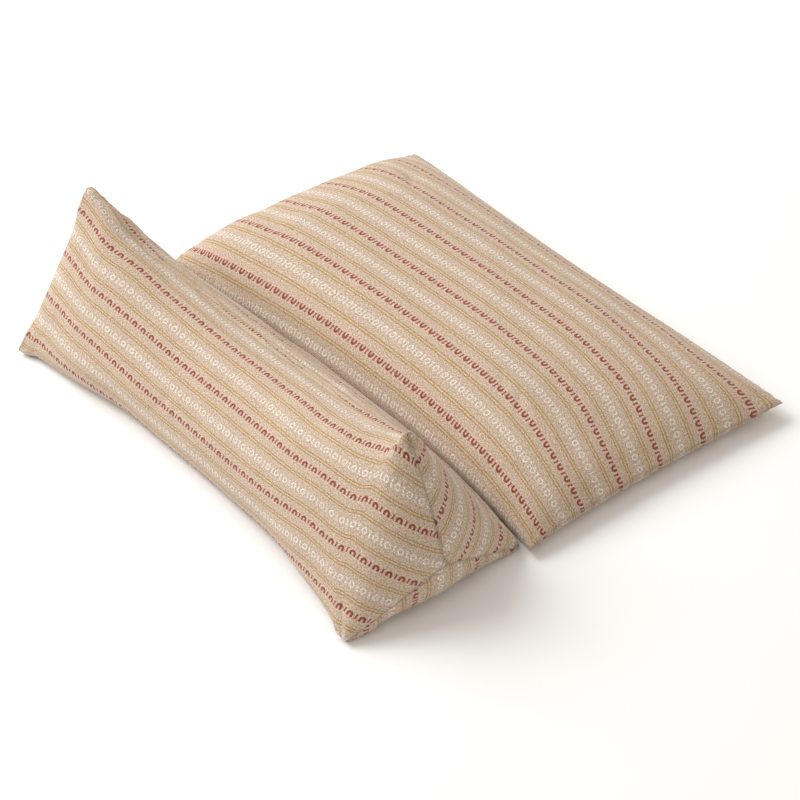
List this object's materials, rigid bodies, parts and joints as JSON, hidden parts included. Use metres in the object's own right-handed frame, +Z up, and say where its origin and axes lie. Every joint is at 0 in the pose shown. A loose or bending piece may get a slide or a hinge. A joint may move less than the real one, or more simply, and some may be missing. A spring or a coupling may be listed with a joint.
{
  "type": "cervical bolster pillow",
  "caption": "Striped neck pillow: a flat filled cushion with a raised three-sided bolster sewn along one long edge.",
  "frame": {"origin": "centre of the bounding box, on the surface that the pillow rests on", "axes": "+X along the bolster and the stripes, +Y from the bolster to the flat cushion, +Z up"},
  "size_m": [0.5072, 0.4646, 0.1479],
  "materials": {
    "striped_cloth": "matt heathered beige weave with lengthwise stripes: rust red loops, off-white rings and fine ochre lines"
  },
  "bodies": {
    "root": {"bolster": "striped_cloth", "flat_cushion": "striped_cloth"}
  },
  "joints": []
}
